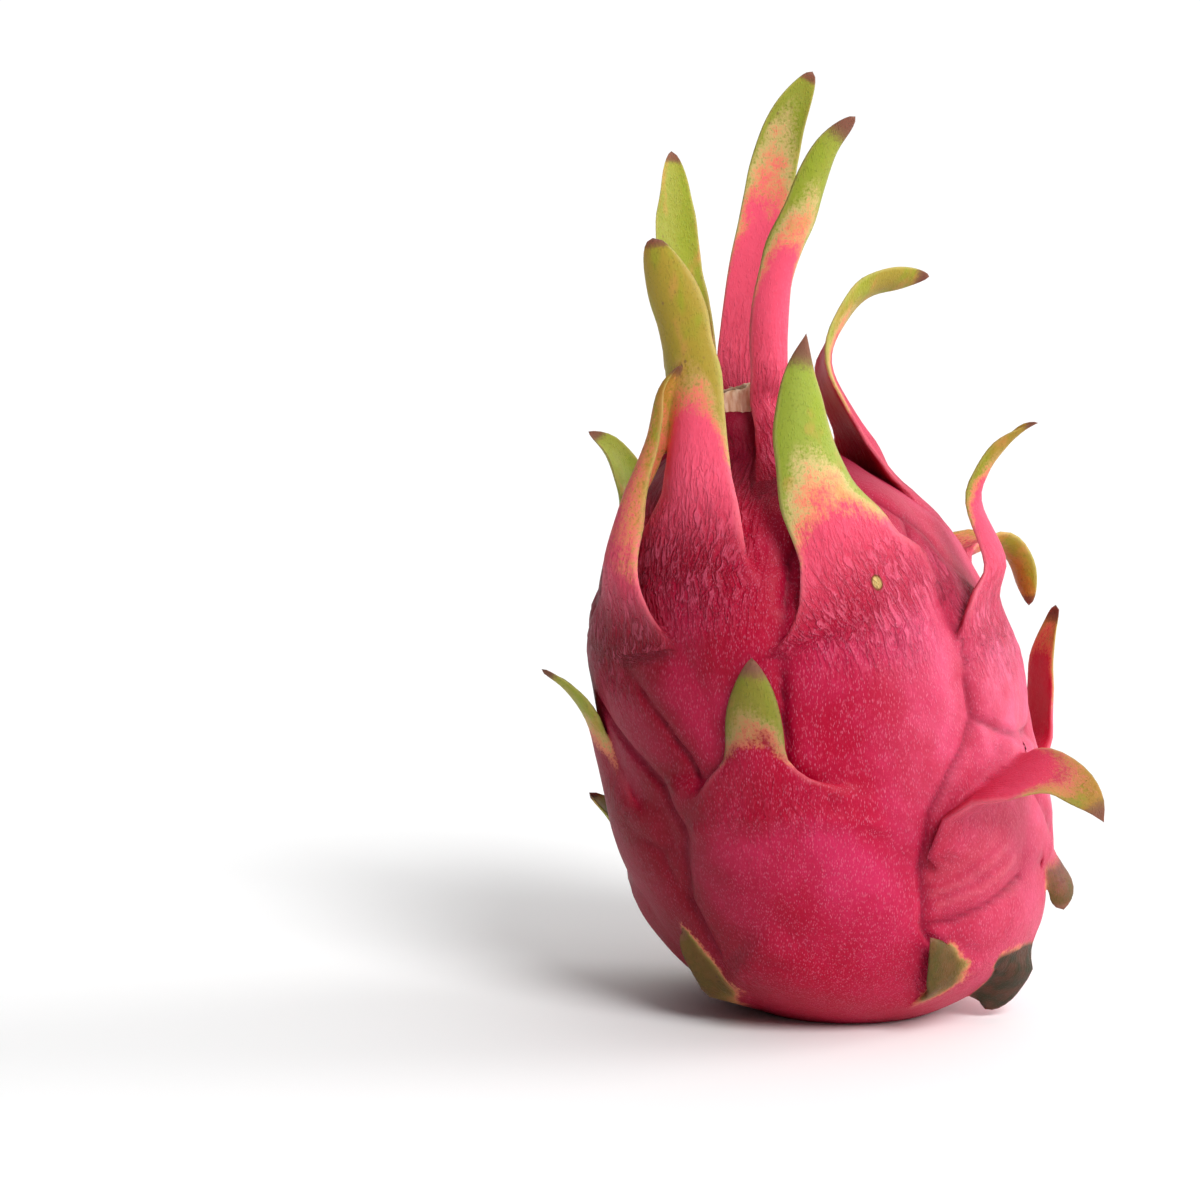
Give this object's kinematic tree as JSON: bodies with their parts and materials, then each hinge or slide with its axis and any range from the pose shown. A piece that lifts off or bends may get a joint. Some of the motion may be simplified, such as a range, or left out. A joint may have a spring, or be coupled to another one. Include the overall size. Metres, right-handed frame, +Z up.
{
  "type": "dragon fruit",
  "caption": "Whole red dragon fruit standing upright: leaning oval body of swollen skin with long pointed green-tipped scales and a dry flower ring on the crown.",
  "frame": {"origin": "middle of the small flat spot that the fruit stands on, at its stem end", "axes": "+Z up towards the crown, -Y towards the viewer of the picture, +X to the right; the crown leans towards -X"},
  "size_m": [0.1188, 0.1138, 0.2041],
  "materials": {
    "skin": "waxy red-pink skin, scales green and yellow towards brown tips",
    "dry_flower": "dry, cream and fibrous"
  },
  "bodies": {
    "root": {"fruit": "skin", "flower_ring": "dry_flower"}
  },
  "joints": []
}
